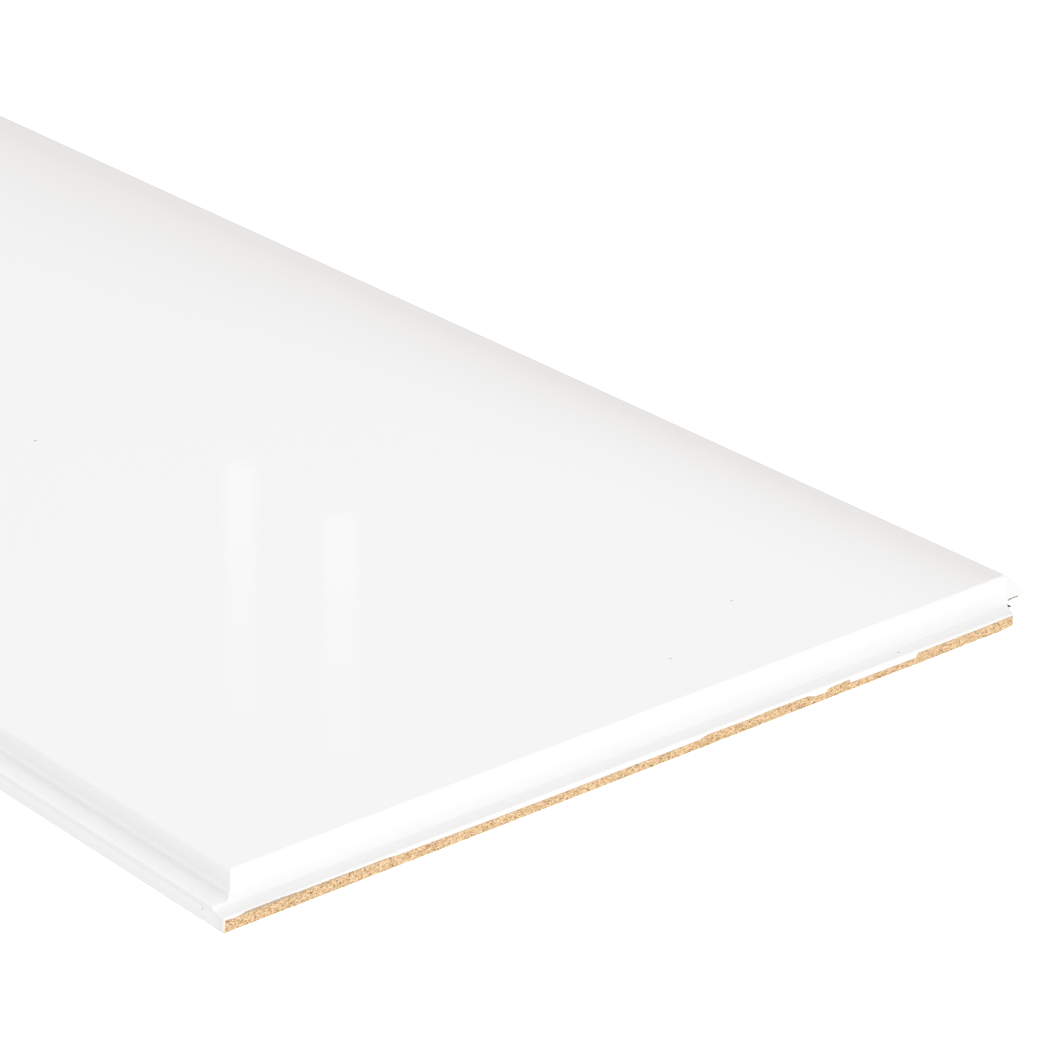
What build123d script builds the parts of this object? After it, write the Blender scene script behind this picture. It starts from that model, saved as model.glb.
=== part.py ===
from build123d import *
import os

# White-lacquered particleboard wall panel that laps with its neighbours on all four edges.
# It lies on its back: X across the panel, Y along it, Z up out of the visible face.
# The left side and the near end carry a thin lip, the right side and the far end carry a nose
# that covers the lip of the next panel. Sizes are in millimetres.

# Board
thickness = 12.0
face_width = 250.0
face_length = 1200.0
arris_radius = 1.0

# Lip along the left side
side_lip_reach = 5.9
side_lip_height = 4.45
side_lip_bevel = 0.75

# Fine ledge that the cutter leaves on the wall above the left lip
ledge_height = 6.3
ledge_width = 0.55
ledge_slope = 0.7

# Lip along the near end, a little lower than the left one
end_lip_reach = 5.3
end_lip_height = 3.7
end_lip_round = 0.5

# Nose along the right side
side_nose_reach = 6.6
side_nose_tip = 1.1
side_nose_cove = 2.4
side_back_setback = 0.3

# Nose along the far end
end_nose_reach = 5.6
end_nose_tip = 1.1
end_back_setback = 0.3

# The right end of the near lip is broken off at a slant
broken_length = 2.2

# Both noses ride just over the left lip, the higher of the two
lap_clearance = 0.1
nose_radius = 0.35
cove_radius = 1.2

# Places that follow from the sizes
overall_width = side_lip_reach + face_width + side_nose_reach
overall_length = end_lip_reach + face_length + end_nose_reach
left_edge = -overall_width / 2
left_wall = left_edge + side_lip_reach
left_foot = left_wall - ledge_width
right_arris = left_wall + face_width
right_tip = right_arris + side_nose_reach
right_back = right_arris - side_back_setback
near_edge = -overall_length / 2
near_wall = near_edge + end_lip_reach
far_arris = near_wall + face_length
far_tip = far_arris + end_nose_reach
far_back = far_arris - end_back_setback
nose_underside = max(side_lip_height, end_lip_height) + lap_clearance
broken_start = right_back - broken_length
broken_end = right_back + side_nose_cove / 4
broken_slant = (broken_end - broken_start) / end_lip_reach
ledge_round = min(0.2, 0.35 * ledge_width)
tip_round = min(nose_radius, 0.4 * side_nose_tip)
stock_length = overall_length + 2 * thickness
stock_width = overall_width + 2 * thickness


def nose_corners(arris, tip, tip_height, back, tip_round, cove):
    """Corners of a nosed edge from the face down to the back, as place, height and rounding."""
    return [
        (arris, thickness, 0),
        (tip, nose_underside + tip_height, tip_round),
        (tip, nose_underside, tip_round),
        (back, nose_underside, cove),
        (back, 0, 0),
    ]


def rounded_outline(corners):
    """Closed outline through the corners, each with its own rounding."""
    points = [(place, height) for place, height, rounding in corners]
    radii = [rounding for place, height, rounding in corners]
    FilletPolyline(*points, radius=radii, close=True)


# Section across the panel: left lip, ledge, face and right nose
side_corners = [
    (left_edge, 0, 0),
    (left_edge, side_lip_height - side_lip_bevel, 0),
    (left_edge + side_lip_bevel, side_lip_height, 0),
    (left_foot, side_lip_height, cove_radius),
    (left_foot, ledge_height, ledge_round),
    (left_wall, ledge_height + ledge_slope, 0),
    (left_wall, thickness, 0),
]
side_corners += nose_corners(right_arris, right_tip, side_nose_tip, right_back, tip_round, side_nose_cove)

# Section along the panel: near lip, face and far nose, which is cut plain
end_corners = [
    (near_edge, 0, 0),
    (near_edge, end_lip_height, end_lip_round),
    (near_wall, end_lip_height, cove_radius),
    (near_wall, thickness, 0),
]
end_corners += nose_corners(far_arris, far_tip, end_nose_tip, far_back, 0, 0)

# The piece that is missing at the right end of the near lip, taken well past the panel's outline
broken_corners = [
    (broken_start - broken_slant * thickness, near_edge - thickness),
    (broken_end, near_wall),
    (right_tip + thickness, near_wall),
    (right_tip + thickness, near_edge - thickness),
]

# The board is milled along its sides, then across its ends, and the face's edges are eased
with BuildPart() as panel:
    with BuildSketch(Plane.XZ.offset(-stock_length / 2)):
        with BuildLine():
            rounded_outline(side_corners)
        make_face()
    extrude(amount=stock_length)
    with BuildSketch(Plane.YZ.offset(-stock_width / 2)):
        with BuildLine():
            rounded_outline(end_corners)
        make_face()
    extrude(amount=stock_width, mode=Mode.INTERSECT)
    with BuildSketch():
        with BuildLine():
            Polyline(*broken_corners, close=True)
        make_face()
    extrude(amount=thickness, mode=Mode.SUBTRACT)
    fillet(panel.faces().sort_by(Axis.Z)[-1].edges(), radius=arris_radius)

panel.part.label = "panel"

os.makedirs("parts", exist_ok=True)
export_step(panel.part, "parts/panel.step")
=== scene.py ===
import math

import bmesh
import bpy
from mathutils import Matrix, Vector, noise


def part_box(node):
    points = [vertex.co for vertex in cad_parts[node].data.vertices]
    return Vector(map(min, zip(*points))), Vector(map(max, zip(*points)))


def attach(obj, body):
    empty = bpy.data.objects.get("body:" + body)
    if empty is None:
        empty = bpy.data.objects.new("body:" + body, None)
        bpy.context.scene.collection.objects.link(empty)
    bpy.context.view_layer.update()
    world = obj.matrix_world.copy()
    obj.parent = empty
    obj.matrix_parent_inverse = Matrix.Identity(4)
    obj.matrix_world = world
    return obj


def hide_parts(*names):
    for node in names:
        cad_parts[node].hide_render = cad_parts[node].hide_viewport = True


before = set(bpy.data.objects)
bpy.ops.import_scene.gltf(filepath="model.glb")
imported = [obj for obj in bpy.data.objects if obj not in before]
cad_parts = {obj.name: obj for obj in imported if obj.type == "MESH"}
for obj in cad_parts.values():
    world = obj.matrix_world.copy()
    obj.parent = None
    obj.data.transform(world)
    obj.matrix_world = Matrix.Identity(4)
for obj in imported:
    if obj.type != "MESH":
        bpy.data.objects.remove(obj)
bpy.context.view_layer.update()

# One millimetre in the scene's metres. Sizes below are in millimetres, as in the solid.
MM = 0.001

# The board, from the frame's box
panel_low, panel_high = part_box("panel")
LEFT, NEAR, BOTTOM = (value / MM for value in panel_low)
RIGHT, FAR, TOP = (value / MM for value in panel_high)

# Edge profiles
ARRIS_RADIUS = 1.0
SIDE_LIP_REACH = 5.9
SIDE_LIP_HEIGHT = 4.45
SIDE_LIP_BEVEL = 0.75
LEDGE_HEIGHT = 6.3
LEDGE_WIDTH = 0.55
LEDGE_SLOPE = 0.7
END_LIP_REACH = 5.3
END_LIP_HEIGHT = 3.7
END_LIP_ROUND = 0.5
SIDE_NOSE_REACH = 6.6
END_NOSE_REACH = 5.6
NOSE_TIP = 1.1
BACK_SETBACK = 0.3
SIDE_NOSE_COVE = 2.4
BROKEN_LENGTH = 2.2
NOSE_UNDERSIDE = 4.55
NOSE_RADIUS = 0.35
COVE_RADIUS = 1.2

# Fine roundings of the left lip's bevel and top, the ledge, the wall above it and the far nose
LIP_BEVEL_EASE = 0.2
LIP_TOP_EASE = 0.3
LEDGE_EASE = 0.19
WALL_EASE = 0.1
END_NOSE_EASE = 0.15

LEFT_WALL = LEFT + SIDE_LIP_REACH
LEFT_FOOT = LEFT_WALL - LEDGE_WIDTH
RIGHT_ARRIS = RIGHT - SIDE_NOSE_REACH
RIGHT_BACK = RIGHT_ARRIS - BACK_SETBACK
NEAR_WALL = NEAR + END_LIP_REACH
FAR_ARRIS = FAR - END_NOSE_REACH
FAR_BACK = FAR_ARRIS - BACK_SETBACK
BROKEN_START = RIGHT_BACK - BROKEN_LENGTH
BROKEN_END = RIGHT_BACK + SIDE_NOSE_COVE / 4
BROKEN_SLANT = (BROKEN_END - BROKEN_START) / END_LIP_REACH

# The outermost strip of the near lip is a piece of its own, with the sawn face on it
STRIP_DEPTH = 1.6
STRIP_STEP = 0.2
SLANT_RUN = 4.0
PAINT_FILM = 0.12

# Material slots of the board and of the strip
FACE, EDGE, RAW = 0, 1, 2
STRIP_PAINT, STRIP_RAW = 0, 1

# The sawn face: how far it lies behind the paint, its grain, the depth of a pit, its rows of points,
# and how far the darker rim reaches below the paint
CORE_RECESS = 0.05
CORE_GRAIN = 0.05
CORE_FINE = 0.03
PIT_DEPTH = 0.35
CORE_ROWS = 16
RIM_HEIGHT = 0.4

# How far below the lip's top the paint ends on the sawn face, as place from the left end and depth
PAINT_RUN = [
    (0.0, 3.3),
    (0.25, 3.3),
    (0.3, 0.45),
    (1.4, 0.5),
    (3.0, 0.65),
    (4.5, 0.55),
    (6.0, 0.2),
    (17.0, 0.2),
    (22.0, 0.35),
    (46.0, 0.45),
    (50.0, 0.75),
    (72.0, 0.95),
    (98.0, 1.15),
    (144.0, 1.25),
    (146.8, 0.65),
    (161.0, 0.85),
    (167.0, 0.65),
    (180.5, 0.8),
    (183.0, 1.65),
    (186.8, 1.7),
    (187.6, 0.85),
    (194.9, 0.6),
    (195.2, 1.6),
    (218.4, 1.75),
    (218.7, 0.6),
    (260.0, 0.45),
]
PAINT_RAGGED = 0.07

# Chips out of the sawn face's lower edge: middle from the left end, half width and height
EDGE_CHIPS = [
    (236.4, 1.1, 0.45),
    (241.6, 1.5, 0.3),
    (253.8, 4.5, 0.45),
]

# Pits where a chip has fallen out: place from the left end, height, half length, half height
CORE_PITS = [
    (0.8, 2.65, 0.5, 0.35),
    (14.6, 2.45, 0.6, 0.25),
    (25.0, 1.75, 0.75, 0.32),
    (41.0, 1.6, 0.7, 0.2),
    (47.4, 0.7, 0.5, 0.25),
    (48.4, 1.9, 0.5, 0.3),
    (119.3, 1.5, 0.4, 0.2),
    (129.2, 1.0, 0.6, 0.25),
    (161.8, 2.2, 0.5, 0.3),
    (174.8, 1.0, 0.6, 0.35),
    (179.9, 1.0, 0.5, 0.25),
    (221.0, 1.3, 0.9, 0.2),
    (252.4, 1.9, 0.5, 0.2),
]

# Specks of dirt: place across and along from the near left corner, height and radius
FACE_SPECKS = [(110.85, 234.6, 12.0, 0.5), (155.6, 23.7, 12.0, 0.35), (190.1, 38.9, 12.0, 0.35)]
EDGE_SPECKS = [(214.3, 2.5, 3.7, 0.35), (0.0, 8.0, 3.05, 0.3)]
SPECK_COLOUR = (0.25, 0.24, 0.23, 1)
# Share of the radius where a speck is darkest, and how dark it is there
SPECK_CORE = 0.6
SPECK_STRENGTH = 0.7

# The photograph's camera: place in millimetres, angles in degrees, lens on a 36 mm frame
IMAGE_SIZE = 1050
CAMERA_PLACE = (-651.25, -1316.45, 499.5)
CAMERA_HEADING = 40.508
CAMERA_TILT = 24.364
CAMERA_ROLL = 0.695
CAMERA_LENS = 153.614
SENSOR_WIDTH = 36.0

# Lamp reflections on the face, as pixel columns of the photograph with their glow,
# and pixel rows from the sharp upper end with the glow that is left there
STREAK_COLUMNS = [
    [(219, 0.0), (230, 1.0), (250, 1.0), (261, 0.0)],
    [(316, 0.0), (328, 1.0), (352, 1.0), (364, 0.0)],
]
STREAK_ROWS = [
    [(464, 1.0), (560, 0.7), (660, 0.35), (760, 0.0)],
    [(515, 1.0), (600, 0.7), (690, 0.35), (780, 0.0)],
]
STREAK_DISTANCE = 2000.0
STREAK_GLOW = 0.37

# Dark surface beyond the far long edge, which shows in the gloss: height and how much it covers
SHADE_ROWS = [
    (0.0, 1.0),
    (24.0, 1.0),
    (26.0, 0.9),
    (27.0, 0.75),
    (28.2, 0.64),
    (30.7, 0.5),
    (33.8, 0.35),
    (36.9, 0.23),
    (40.0, 0.17),
    (43.1, 0.09),
    (49.3, 0.02),
    (55.5, 0.0),
]
SHADE_GAP = 10.0
SHADE_COLOUR = (0.25, 0.11, 0.0, 1)
# Along the panel from the near end: how much higher it stands above the lowest glossy sight line,
# and how much of it is left
SHADE_SIGHT = 24.0
SHADE_STRETCH = [
    (-100.0, 0.8, 1.0),
    (180.0, 0.95, 0.95),
    (300.0, 1.3, 0.8),
    (450.0, 2.0, 0.76),
    (1300.0, 2.7, 0.84),
]

# Lacquer on the face, and edge paint across the near lip with painted light and shade: full white on its
# rounding and by its wall, a darker grey on its top as painted shade that lightens towards the wall
LACQUER_WHITE = (0.83, 0.83, 0.83, 1)
PAINT_FULL = (0.865, 0.865, 0.865, 1)
LIP_SHADE_GREY = (0.81, 0.8, 0.795, 1)
LIP_PAINTED_SHADING = [(0.0, PAINT_FULL), (0.1, PAINT_FULL), (0.16, LIP_SHADE_GREY), (1.0, PAINT_FULL)]

# Sawn particleboard: chips per metre each way, their colours from dark to pale, and the darker rim below
# the paint
CHIP_SCALE = (2600, 2600, 4200)
CHIP_COLOURS = [
    (0.0, (0.22, 0.11, 0.04, 1)),
    (0.1, (0.42, 0.25, 0.11, 1)),
    (0.3, (0.65, 0.42, 0.215, 1)),
    (0.7, (0.77, 0.545, 0.31, 1)),
    (1.0, (0.93, 0.74, 0.51, 1)),
]
RIM_COLOUR = (0.45, 0.37, 0.29, 1)

# Roughness of each finish, and its relief: features per metre, detail, strength and depth in metres
LACQUER_ROUGHNESS = 0.015
PAINT_ROUGHNESS = 0.5
CORE_ROUGHNESS = 0.85
LACQUER_RELIEF = (1300, 2, 1.0, 3.0e-6)
PAINT_RELIEF = (2200, 3, 0.6, 1.5e-5)
CORE_RELIEF = (3500, 3, 0.8, 6.0e-5)

# Painted shade on the edge paint: a darker grey on the left lip's bevel and on the right nose's near
# end, and a dark painted shadow line along that end's lower edge
PAINT_SHADE_PATCHES = [
    (
        (LEFT - 1.0, NEAR - 1.0, SIDE_LIP_HEIGHT - SIDE_LIP_BEVEL - 0.1),
        (LEFT + 0.8 * SIDE_LIP_BEVEL, FAR + 1.0, SIDE_LIP_HEIGHT - 0.1),
        (0.82, 0.815, 0.81, 1),
    ),
    (
        (RIGHT_ARRIS, NEAR_WALL - 0.1, 0.0),
        (RIGHT + 1.0, NEAR_WALL + 0.4, TOP + 1.0),
        (0.84, 0.84, 0.835, 1),
    ),
    (
        (RIGHT_BACK + 1.2, NEAR_WALL - 0.1, 0.0),
        (RIGHT - 2.0, NEAR_WALL + 0.4, NOSE_UNDERSIDE + 0.42),
        (0.24, 0.21, 0.2, 1),
    ),
]

# Painted shadow on the floor: under the right nose and in the gap under the left side
FLOOR_SHADOW_TONE = (0.1, 0.06, 0.06, 1)
FLOOR_SHADOWS = [
    ((RIGHT_BACK, NEAR_WALL + 3.6, -1.0), (RIGHT - 0.2, FAR_BACK, 1.0), FLOOR_SHADOW_TONE),
    ((LEFT, NEAR + 1.0, -1.0), (LEFT_WALL, FAR, 1.0), FLOOR_SHADOW_TONE),
]
# The floor: half its side in metres, its gap below the panel in millimetres, how white the camera
# sees it, and how it lights the panel
FLOOR_HALF = 6.0
FLOOR_GAP = 0.05
FLOOR_SEEN = (1.8, 1.8, 1.8, 1)
FLOOR_PALE = (0.6, 0.6, 0.6, 1)
FLOOR_GLOW = 0.47

# Sky radiance at the horizon, and how it grows towards the back and the zenith
SKY_LEVEL = 0.5
SKY_GROWTH = (0.1, 0.15, 0.815)

# Low key light: place from the near end's middle and size in metres, and radiance
KEY_PLACE = (-0.6, -2.2, 0.3)
KEY_SIZE = (1.2, 0.8)
KEY_RADIANCE = 5.95


def new_object(name, mesh):
    """Links a mesh into the scene as an object."""
    piece = bpy.data.objects.new(name, mesh)
    bpy.context.scene.collection.objects.link(piece)
    return piece


def arc_corner(before, corner, after, radius, steps):
    """Points of a rounded corner in the plane, or the corner itself if it is sharp."""
    corner = Vector(corner)
    if radius <= 0:
        return [corner]
    to_before = (Vector(before) - corner).normalized()
    to_after = (Vector(after) - corner).normalized()
    half = to_before.angle(to_after) / 2
    centre = corner + (to_before + to_after).normalized() * (radius / math.sin(half))
    start = corner + to_before * (radius / math.tan(half)) - centre
    end = corner + to_after * (radius / math.tan(half)) - centre
    sweep = start.angle(end)
    points = []
    for step in range(steps + 1):
        share = step / steps
        blend = start * math.sin((1 - share) * sweep) + end * math.sin(share * sweep)
        points.append(centre + blend / math.sin(sweep))
    return points


def rounded_outline(corners, steps=8):
    """Closed outline through corners given as place, height and rounding."""
    outline = []
    for index, (place, height, radius) in enumerate(corners):
        before = corners[index - 1][:2]
        after = corners[(index + 1) % len(corners)][:2]
        outline += arc_corner(before, (place, height), after, radius, steps)
    return outline


def nose_corners(arris, tip, back, tip_round, cove):
    """Corners of a nosed edge from the face down to the back."""
    return [
        (arris, TOP, ARRIS_RADIUS),
        (tip, NOSE_UNDERSIDE + NOSE_TIP, tip_round),
        (tip, NOSE_UNDERSIDE, tip_round),
        (back, NOSE_UNDERSIDE, cove),
        (back, BOTTOM, 0),
    ]


def prism(name, outline, place):
    """Closed prism over an outline; place gives a vertex from an outline point and an end, 0 or 1."""
    shape = bmesh.new()
    ends = [[shape.verts.new(place(point, end)) for point in outline] for end in (0, 1)]
    shape.faces.new(ends[0])
    shape.faces.new(list(reversed(ends[1])))
    for index in range(len(outline)):
        following = (index + 1) % len(outline)
        shape.faces.new((ends[0][following], ends[0][index], ends[1][index], ends[1][following]))
    bmesh.ops.recalc_face_normals(shape, faces=shape.faces)
    mesh = bpy.data.meshes.new(name)
    shape.to_mesh(mesh)
    shape.free()
    return new_object(name, mesh)


def board_mesh():
    """The board without the near lip's outermost strip: side section crossed with end section."""
    side_corners = [
        (LEFT, BOTTOM, 0),
        (LEFT, SIDE_LIP_HEIGHT - SIDE_LIP_BEVEL, LIP_BEVEL_EASE),
        (LEFT + SIDE_LIP_BEVEL, SIDE_LIP_HEIGHT, LIP_TOP_EASE),
        (LEFT_FOOT, SIDE_LIP_HEIGHT, COVE_RADIUS),
        (LEFT_FOOT, LEDGE_HEIGHT, LEDGE_EASE),
        (LEFT_WALL, LEDGE_HEIGHT + LEDGE_SLOPE, WALL_EASE),
        (LEFT_WALL, TOP, ARRIS_RADIUS),
    ]
    side_corners += nose_corners(RIGHT_ARRIS, RIGHT, RIGHT_BACK, NOSE_RADIUS, SIDE_NOSE_COVE)
    strip_back = NEAR + STRIP_DEPTH
    end_corners = [
        (strip_back, BOTTOM, 0),
        (strip_back, END_LIP_HEIGHT, 0),
        (NEAR_WALL, END_LIP_HEIGHT, COVE_RADIUS),
        (NEAR_WALL, TOP, ARRIS_RADIUS),
    ]
    end_corners += nose_corners(FAR_ARRIS, FAR, FAR_BACK, END_NOSE_EASE, 0)
    spare = 20.0
    broken_corners = [
        Vector((BROKEN_START - BROKEN_SLANT * spare, NEAR - spare)),
        Vector((BROKEN_END, NEAR_WALL)),
        Vector((RIGHT + spare, NEAR_WALL)),
        Vector((RIGHT + spare, NEAR - spare)),
    ]
    low_y, high_y = (NEAR - spare) * MM, (FAR + spare) * MM
    low_x, high_x = (LEFT - spare) * MM, (RIGHT + spare) * MM

    def along_y(point, end):
        return point.x * MM, (low_y, high_y)[end], point.y * MM

    def along_x(point, end):
        return (low_x, high_x)[end], point.x * MM, point.y * MM

    def along_z(point, end):
        return point.x * MM, point.y * MM, (BOTTOM - spare, END_LIP_HEIGHT + COVE_RADIUS)[end] * MM

    board = prism("board", rounded_outline(side_corners), along_y)
    cutters = [
        ("INTERSECT", prism("end_cutter", rounded_outline(end_corners), along_x)),
        ("DIFFERENCE", prism("corner_cutter", broken_corners, along_z)),
    ]
    for operation, cutter in cutters:
        crossing = board.modifiers.new(cutter.name, "BOOLEAN")
        crossing.operation = operation
        crossing.solver = "EXACT"
        crossing.object = cutter
    bpy.context.view_layer.update()
    made = board.evaluated_get(bpy.context.evaluated_depsgraph_get())
    mesh = bpy.data.meshes.new_from_object(made)
    mesh.name = "board"
    bpy.data.objects.remove(board)
    for operation, cutter in cutters:
        bpy.data.objects.remove(cutter)
    return mesh


def paint_board(mesh, face_lacquer, edge_paint, raw_core):
    """Gives each face of the board its finish by where it lies and which way it looks."""
    mesh.materials.clear()
    for material in (face_lacquer, edge_paint, raw_core):
        mesh.materials.append(material)
    slack = 0.05
    for face in mesh.polygons:
        centre = face.center / MM
        normal = face.normal
        under_nose = (
            centre.z < NOSE_UNDERSIDE + slack
            and (centre.x > RIGHT_BACK - slack or centre.y > FAR_BACK - slack)
            and (normal.x > 0.02 or normal.y > 0.02 or normal.z < -0.02)
        )
        broken = centre.y < NEAR_WALL and centre.x > BROKEN_START and normal.x > 0.5
        if normal.z < -0.5 or under_nose or broken:
            face.material_index = RAW
        elif normal.z > 0.1 and centre.z > NOSE_UNDERSIDE + NOSE_TIP:
            on_edge = normal.x < -0.5 or normal.y < -0.03
            face.material_index = EDGE if on_edge else FACE
        else:
            face.material_index = EDGE


def smooth_by_angle(piece, degrees):
    """Smooth shading with sharp edges past an angle, and flat faces kept flat."""
    piece.data.shade_smooth()
    piece.data.set_sharp_from_angle(angle=math.radians(degrees))
    weighted = piece.modifiers.new("flat_faces", "WEIGHTED_NORMAL")
    weighted.keep_sharp = True
    weighted.weight = 100


def value_along(stations, place):
    """Straight-line value between the stations on either side of a place."""
    for (start, first), (end, second) in zip(stations, stations[1:]):
        if place <= end:
            share = (place - start) / (end - start)
            return first + (second - first) * max(0.0, min(1.0, share))
    return stations[-1][1]


def chip_height(place):
    """How far the sawn face's lower edge is broken away at a place."""
    height = 0.05 * abs(noise.noise(Vector((place * 0.9, 3.1, 0))))
    for middle, half_width, most in EDGE_CHIPS:
        share = abs(place - middle) / half_width
        if share < 1:
            ragged = 0.8 + 0.4 * noise.noise(Vector((place * 3.0, middle, 0)))
            height = max(height, most * ragged * min(1.0, 2.5 * (1 - share)))
    return height


def core_depth(place, height):
    """How deep the sawn face lies behind the paint, with its grain and pits."""
    grain = noise.noise(Vector((place * 1.6, 0, height * 3.2)))
    fine = noise.noise(Vector((place * 4.5, 7, height * 6.0)))
    depth = PAINT_FILM + CORE_RECESS + CORE_GRAIN * grain + CORE_FINE * fine
    for middle, level, half_length, half_height in CORE_PITS:
        away = ((place - middle) / half_length) ** 2 + ((height - level) / half_height) ** 2
        if away < 1:
            depth += PIT_DEPTH * (1 - away)
    return max(PAINT_FILM * 0.5, depth)


def strip_section(place):
    """Points of the near strip's section at a place from its left end, as depth, height and material."""
    chip = chip_height(place)
    ragged = noise.noise(Vector((place * 1.3, 11, 0))) + 0.6 * noise.noise(Vector((place * 4.0, 13, 0)))
    paint_line = END_LIP_HEIGHT - value_along(PAINT_RUN, place) - PAINT_RAGGED * ragged
    band_top = END_LIP_HEIGHT - END_LIP_ROUND
    paint_low = max(chip + 0.3, min(paint_line, band_top - 0.06))
    points = []
    for step in range(4):
        depth = STRIP_DEPTH + (END_LIP_ROUND - STRIP_DEPTH) * step / 4
        points.append((depth, END_LIP_HEIGHT, STRIP_PAINT))
    for step in range(9):
        turn = math.radians(90 * step / 8)
        depth = END_LIP_ROUND * (1 - math.sin(turn))
        height = band_top + END_LIP_ROUND * math.cos(turn)
        points.append((depth, height, STRIP_RAW if height < paint_line - 0.001 else STRIP_PAINT))
    for step in range(1, 4):
        height = band_top + (paint_low - band_top) * step / 3
        swell = 0.02 if step < 3 else 0.05
        points.append((swell, height, STRIP_RAW if height < paint_line - 0.001 else STRIP_PAINT))
    for step in range(CORE_ROWS + 1):
        height = paint_low - 0.03 + (chip - paint_low + 0.03) * step / CORE_ROWS
        points.append((core_depth(place, height), height, STRIP_RAW))
    points.append((0.35, chip * 0.6, STRIP_RAW))
    points.append((STRIP_DEPTH, BOTTOM, STRIP_RAW))
    return points, paint_low


def near_strip_mesh():
    """The near lip's outermost strip: painted top and edge, ragged paint line, sawn chipboard."""
    width = BROKEN_START - LEFT
    count = round(width / STRIP_STEP)
    shape = bmesh.new()
    rim = shape.verts.layers.float.new("rim")
    rings = []
    for station in range(count + 1):
        place = width * station / count
        points, paint_low = strip_section(place)
        slant = BROKEN_SLANT * max(0.0, 1 - (width - place) / SLANT_RUN)
        ring = []
        for depth, height, material in points:
            across = LEFT + place + slant * depth
            vertex = shape.verts.new((across * MM, (NEAR + depth) * MM, height * MM))
            below = paint_low - height
            vertex[rim] = max(0.0, 1 - below / RIM_HEIGHT) if material == STRIP_RAW else 0.0
            ring.append((vertex, material))
        rings.append(ring)
    size = len(rings[0])
    for ring, following in zip(rings, rings[1:]):
        for index in range(size):
            turn = (index + 1) % size
            corners = (ring[index][0], ring[turn][0], following[turn][0], following[index][0])
            face = shape.faces.new(corners)
            face.material_index = ring[turn][1] if turn else STRIP_RAW
    for ring, material in ((rings[0], STRIP_PAINT), (rings[-1], STRIP_RAW)):
        face = shape.faces.new([vertex for vertex, finish in ring])
        face.material_index = material
    bmesh.ops.recalc_face_normals(shape, faces=shape.faces)
    mesh = bpy.data.meshes.new("near_lip_strip")
    shape.to_mesh(mesh)
    shape.free()
    return mesh


def camera_axes():
    """Right, up and forward directions of the photograph's camera."""
    heading, tilt, roll = (math.radians(angle) for angle in (CAMERA_HEADING, CAMERA_TILT, CAMERA_ROLL))
    level = Vector((math.sin(heading), math.cos(heading), 0))
    forward = level * math.cos(tilt) - Vector((0, 0, math.sin(tilt)))
    right = forward.cross(Vector((0, 0, 1))).normalized()
    up = right.cross(forward)
    rolled_right = right * math.cos(roll) + up * math.sin(roll)
    rolled_up = up * math.cos(roll) - right * math.sin(roll)
    return rolled_right, rolled_up, forward


def make_camera():
    """The photograph's camera."""
    camera = bpy.data.objects.new("camera", bpy.data.cameras.new("camera"))
    bpy.context.scene.collection.objects.link(camera)
    right, up, forward = camera_axes()
    camera.location = Vector(CAMERA_PLACE) * MM
    camera.rotation_euler = Matrix((right, up, -forward)).transposed().to_euler()
    camera.data.lens = CAMERA_LENS
    camera.data.sensor_width = SENSOR_WIDTH
    camera.data.clip_start = 0.01
    bpy.context.scene.camera = camera


def mirrored_point(pixel_x, pixel_y, distance):
    """The point that the face mirrors at a pixel, at a distance from the face, in millimetres."""
    right, up, forward = camera_axes()
    scale = SENSOR_WIDTH / CAMERA_LENS / IMAGE_SIZE
    across = (pixel_x - IMAGE_SIZE / 2) * scale
    down = (pixel_y - IMAGE_SIZE / 2) * scale
    ray = (forward + right * across - up * down).normalized()
    start = Vector(CAMERA_PLACE)
    hit = start + ray * ((TOP - start.z) / ray.z)
    return hit + Vector((ray.x, ray.y, -ray.z)) * distance


def add_node(tree, kind, inputs=None, **settings):
    """A shader node with its settings, and its inputs linked or set."""
    made = tree.nodes.new("ShaderNode" + kind)
    for name, value in settings.items():
        setattr(made, name, value)
    for name, value in (inputs or {}).items():
        if isinstance(value, bpy.types.NodeSocket):
            tree.links.new(value, made.inputs[name])
        else:
            made.inputs[name].default_value = value
    return made


def new_material(name):
    """A node material with its tree and its main shader."""
    material = bpy.data.materials.new(name)
    material.use_nodes = True
    return material, material.node_tree, material.node_tree.nodes["Principled BSDF"]


def add_relief(tree, shader, coords, relief):
    """Fine relief of a finish, from noise over the object's own coordinates."""
    scale, detail, strength, depth = relief
    texture = {"Vector": coords, "Scale": scale, "Detail": detail}
    height = add_node(tree, "TexNoise", texture).outputs["Fac"]
    bump = add_node(tree, "Bump", {"Strength": strength, "Distance": depth, "Height": height})
    tree.links.new(bump.outputs["Normal"], shader.inputs["Normal"])


def colour_ramp(tree, share, stations):
    """Colour along stations given as place and colour, the first at nothing and the last at one."""
    ramp = add_node(tree, "ValToRGB", {"Fac": share})
    stops = ramp.color_ramp.elements
    stops[0].position, stops[0].color = stations[0]
    stops[1].position, stops[1].color = stations[-1]
    for place, colour in stations[1:-1]:
        stops.new(place).color = colour
    return ramp.outputs["Color"]


def specked(tree, coords, colour, specks):
    """A colour with small specks of dirt on it."""
    for across, along, height, radius in specks:
        middle = ((LEFT + across) * MM, (NEAR + along) * MM, (BOTTOM + height) * MM)
        distance = add_node(tree, "VectorMath", {0: coords, 1: middle}, operation="DISTANCE")
        reach = {
            "Value": distance.outputs["Value"],
            "From Min": SPECK_CORE * radius * MM,
            "From Max": radius * MM,
            "To Min": SPECK_STRENGTH,
            "To Max": 0.0,
        }
        share = add_node(tree, "MapRange", reach).outputs["Result"]
        mix = {"Fac": share, "Color1": colour, "Color2": SPECK_COLOUR}
        colour = add_node(tree, "MixRGB", mix).outputs["Color"]
    return colour


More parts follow.
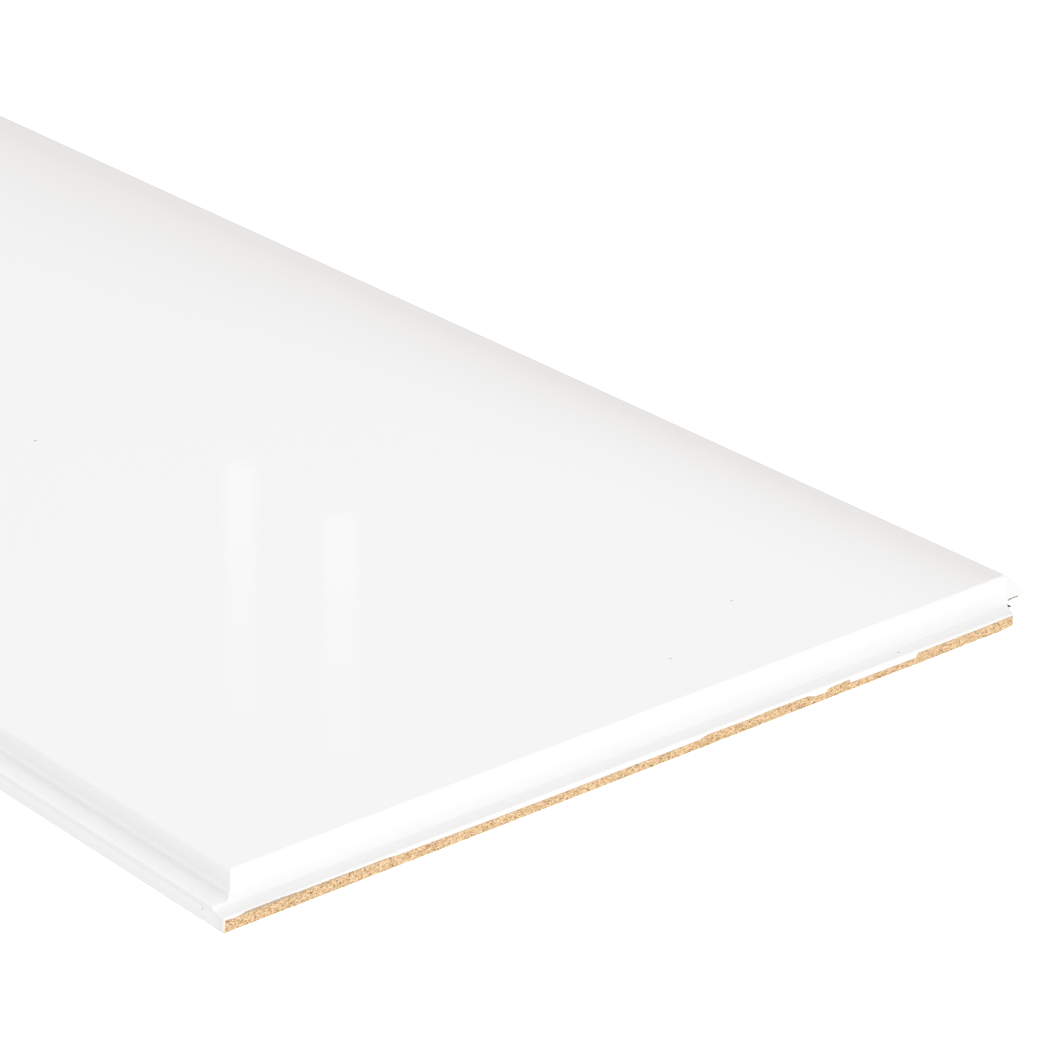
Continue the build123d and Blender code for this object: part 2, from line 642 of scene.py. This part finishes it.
def face_lacquer_material():
    """Smooth white gloss lacquer with a faint orange peel."""
    material, tree, shader = new_material("face_lacquer")
    coords = add_node(tree, "TexCoord").outputs["Object"]
    colour = specked(tree, coords, LACQUER_WHITE, FACE_SPECKS)
    tree.links.new(colour, shader.inputs["Base Color"])
    shader.inputs["Roughness"].default_value = LACQUER_ROUGHNESS
    add_relief(tree, shader, coords, LACQUER_RELIEF)
    return material


def inside_box(tree, coords, low, high):
    """One inside a box given in millimetres and nothing outside it."""
    axes = add_node(tree, "SeparateXYZ", {"Vector": coords}).outputs
    share = None
    for axis, least, most in zip("XYZ", low, high):
        for bound, operation in ((least, "GREATER_THAN"), (most, "LESS_THAN")):
            test = {0: axes[axis], 1: bound * MM}
            side = add_node(tree, "Math", test, operation=operation).outputs["Value"]
            if share is not None:
                side = add_node(tree, "Math", {0: share, 1: side}, operation="MULTIPLY").outputs["Value"]
            share = side
    return share


def patched(tree, coords, colour, patches):
    """A colour with patches of other colours, each a box in millimetres with the colour inside it."""
    for low, high, inside in patches:
        share = inside_box(tree, coords, low, high)
        mix = {"Fac": share, "Color1": colour, "Color2": inside}
        colour = add_node(tree, "MixRGB", mix).outputs["Color"]
    return colour


def edge_paint_material():
    """Matt white paint on the milled edges, a little grainy, with painted shade on the near lip's top,
    the left lip's bevel and the right nose's near end.
    """
    material, tree, shader = new_material("edge_paint")
    coords = add_node(tree, "TexCoord").outputs["Object"]
    along = add_node(tree, "SeparateXYZ", {"Vector": coords}).outputs["Y"]
    outwards = {"Value": along, "From Min": NEAR * MM, "From Max": (NEAR_WALL - COVE_RADIUS) * MM}
    across_lip = add_node(tree, "MapRange", outwards).outputs["Result"]
    # Painted shade across the near lip's top, lighter towards its wall and on its rounding
    paint = colour_ramp(tree, across_lip, LIP_PAINTED_SHADING)
    # Painted shade on the left lip's bevel and the right nose's near end, and a painted shadow line
    # under that end
    shaded = patched(tree, coords, paint, PAINT_SHADE_PATCHES)
    colour = specked(tree, coords, shaded, EDGE_SPECKS)
    tree.links.new(colour, shader.inputs["Base Color"])
    shader.inputs["Roughness"].default_value = PAINT_ROUGHNESS
    add_relief(tree, shader, coords, PAINT_RELIEF)
    return material


def raw_core_material():
    """Sawn particleboard: tan chips with paler and browner ones, and a darker line under the paint."""
    material, tree, shader = new_material("raw_core")
    coords = add_node(tree, "TexCoord").outputs["Object"]
    stretched = add_node(tree, "Mapping", {"Vector": coords, "Scale": CHIP_SCALE}).outputs["Vector"]
    cells = add_node(tree, "TexVoronoi", {"Vector": stretched, "Scale": 1.0, "Randomness": 1.0})
    tone = add_node(tree, "SeparateColor", {"Color": cells.outputs["Color"]}).outputs["Red"]
    chips = colour_ramp(tree, tone, CHIP_COLOURS)
    rim = add_node(tree, "Attribute", attribute_name="rim").outputs["Fac"]
    rimmed = add_node(tree, "MixRGB", {"Fac": rim, "Color1": chips, "Color2": RIM_COLOUR})
    tree.links.new(rimmed.outputs["Color"], shader.inputs["Base Color"])
    shader.inputs["Roughness"].default_value = CORE_ROUGHNESS
    add_relief(tree, shader, coords, CORE_RELIEF)
    return material


def stage_material(name):
    """An empty node material with its tree and its output, for the studio's own things."""
    material = bpy.data.materials.new(name)
    material.use_nodes = True
    tree = material.node_tree
    tree.nodes.clear()
    return material, tree, add_node(tree, "OutputMaterial")


def make_floor():
    """A plain white floor that the camera sees burnt out, with painted shadow under the right nose and
    in the gap under the left side.
    """
    mesh = bpy.data.meshes.new("floor")
    corners = [(x * FLOOR_HALF, y * FLOOR_HALF, 0) for x, y in ((-1, -1), (1, -1), (1, 1), (-1, 1))]
    mesh.from_pydata(corners, [], [(0, 1, 2, 3)])
    floor = new_object("floor", mesh)
    floor.location.z = -FLOOR_GAP * MM
    material, tree, output = stage_material("floor")
    coords = add_node(tree, "TexCoord").outputs["Object"]
    # Painted shadow under the right nose and under the left side, seen by the camera only
    tone = patched(tree, coords, FLOOR_SEEN, FLOOR_SHADOWS)
    seen = add_node(tree, "BsdfDiffuse", {"Color": tone}).outputs["BSDF"]
    pale = add_node(tree, "BsdfDiffuse", {"Color": FLOOR_PALE}).outputs["BSDF"]
    glow = add_node(tree, "Emission", {"Strength": FLOOR_GLOW}).outputs["Emission"]
    lighting = add_node(tree, "AddShader", {0: pale, 1: glow}).outputs["Shader"]
    straight = add_node(tree, "LightPath").outputs["Is Camera Ray"]
    mixed = add_node(tree, "MixShader", {0: straight, 1: lighting, 2: seen}).outputs["Shader"]
    tree.links.new(mixed, output.inputs["Surface"])
    mesh.materials.append(material)


def gloss_card(name, rows, material):
    """A card that only shows in the gloss: rows of places in metres, each with its cover."""
    shape = bmesh.new()
    cover = shape.verts.layers.float.new("cover")
    grid = []
    for row in rows:
        line = []
        for place, share in row:
            vertex = shape.verts.new(place)
            vertex[cover] = share
            line.append(vertex)
        grid.append(line)
    for line, following in zip(grid, grid[1:]):
        for index in range(len(line) - 1):
            shape.faces.new((line[index], line[index + 1], following[index + 1], following[index]))
    mesh = bpy.data.meshes.new(name)
    shape.to_mesh(mesh)
    shape.free()
    mesh.materials.append(material)
    card = new_object(name, mesh)
    card.visible_camera = False
    card.visible_diffuse = False
    card.visible_transmission = False
    card.visible_shadow = False


def make_streaks():
    """Two lamps that show in the gloss, each fading along its length."""
    material, tree, output = stage_material("lamp_glow")
    cover = add_node(tree, "Attribute", attribute_name="cover").outputs["Fac"]
    level = add_node(tree, "Math", {0: cover, 1: STREAK_GLOW}, operation="MULTIPLY").outputs["Value"]
    glow = add_node(tree, "Emission", {"Strength": level}).outputs["Emission"]
    clear = add_node(tree, "BsdfTransparent").outputs["BSDF"]
    both = add_node(tree, "AddShader", {0: glow, 1: clear}).outputs["Shader"]
    tree.links.new(both, output.inputs["Surface"])
    for number, (columns, levels) in enumerate(zip(STREAK_COLUMNS, STREAK_ROWS)):
        rows = []
        for pixel_y, left_over in levels:
            rows.append([
                (mirrored_point(pixel_x, pixel_y, STREAK_DISTANCE) * MM, share * left_over)
                for pixel_x, share in columns
            ])
        gloss_card("lamp_%d" % number, rows, material)


def make_shade():
    """A dark surface beyond the far long edge, which the gloss shows along that edge."""
    material, tree, output = stage_material("far_shade")
    cover = add_node(tree, "Attribute", attribute_name="cover").outputs["Fac"]
    dark = add_node(tree, "Emission", {"Color": SHADE_COLOUR, "Strength": 1.0}).outputs["Emission"]
    clear = add_node(tree, "BsdfTransparent").outputs["BSDF"]
    mixed = add_node(tree, "MixShader", {0: cover, 1: clear, 2: dark}).outputs["Shader"]
    tree.links.new(mixed, output.inputs["Surface"])
    across = RIGHT + SHADE_GAP
    rows = []
    for height, share in SHADE_ROWS:
        above = max(0.0, height - SHADE_SIGHT)
        base = min(height, SHADE_SIGHT)
        rows.append([
            (Vector((across, NEAR + along, base + above * stretch)) * MM, share * left_over)
            for along, stretch, left_over in SHADE_STRETCH
        ])
    gloss_card("far_shade", rows, material)


def aim(thing, target):
    """Turns a lamp to look at a point."""
    thing.rotation_euler = (Vector(target) - thing.location).to_track_quat("-Z", "Y").to_euler()


def area_lamp(name, place, target, size, radiance):
    """A rectangular lamp of even radiance, size in metres."""
    width, height = size
    data = bpy.data.lights.new(name, "AREA")
    data.shape = "RECTANGLE"
    data.size, data.size_y = width, height
    data.energy = radiance * math.pi * width * height
    lamp = bpy.data.objects.new(name, data)
    bpy.context.scene.collection.objects.link(lamp)
    lamp.location = place
    aim(lamp, target)


def make_light():
    """Soft light that grows towards the zenith and the back, and a low key light on the near end."""
    scene = bpy.context.scene
    scene.view_settings.view_transform = "Standard"
    world = bpy.data.worlds.new("studio")
    scene.world = world
    world.use_nodes = True
    tree = world.node_tree
    way = add_node(tree, "TexCoord").outputs["Generated"]
    growth = add_node(tree, "VectorMath", {0: way, 1: SKY_GROWTH}, operation="DOT_PRODUCT")
    level = add_node(tree, "Math", {0: growth.outputs["Value"], 1: SKY_LEVEL}, operation="ADD")
    background = tree.nodes["Background"]
    background.inputs["Color"].default_value = (1, 1, 1, 1)
    tree.links.new(level.outputs["Value"], background.inputs["Strength"])
    near_middle = Vector((0, NEAR * MM, 0))
    area_lamp("key", near_middle + Vector(KEY_PLACE), near_middle, KEY_SIZE, KEY_RADIANCE)


make_camera()
make_floor()
make_streaks()
make_shade()
make_light()

face_lacquer = face_lacquer_material()
edge_paint = edge_paint_material()
raw_core = raw_core_material()

board = new_object("board", board_mesh())
paint_board(board.data, face_lacquer, edge_paint, raw_core)
smooth_by_angle(board, degrees=30)

near_strip = new_object("near_lip_strip", near_strip_mesh())
near_strip.data.materials.append(edge_paint)
near_strip.data.materials.append(raw_core)
smooth_by_angle(near_strip, degrees=50)

for piece in (board, near_strip):
    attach(piece, "root")
    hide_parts("panel")
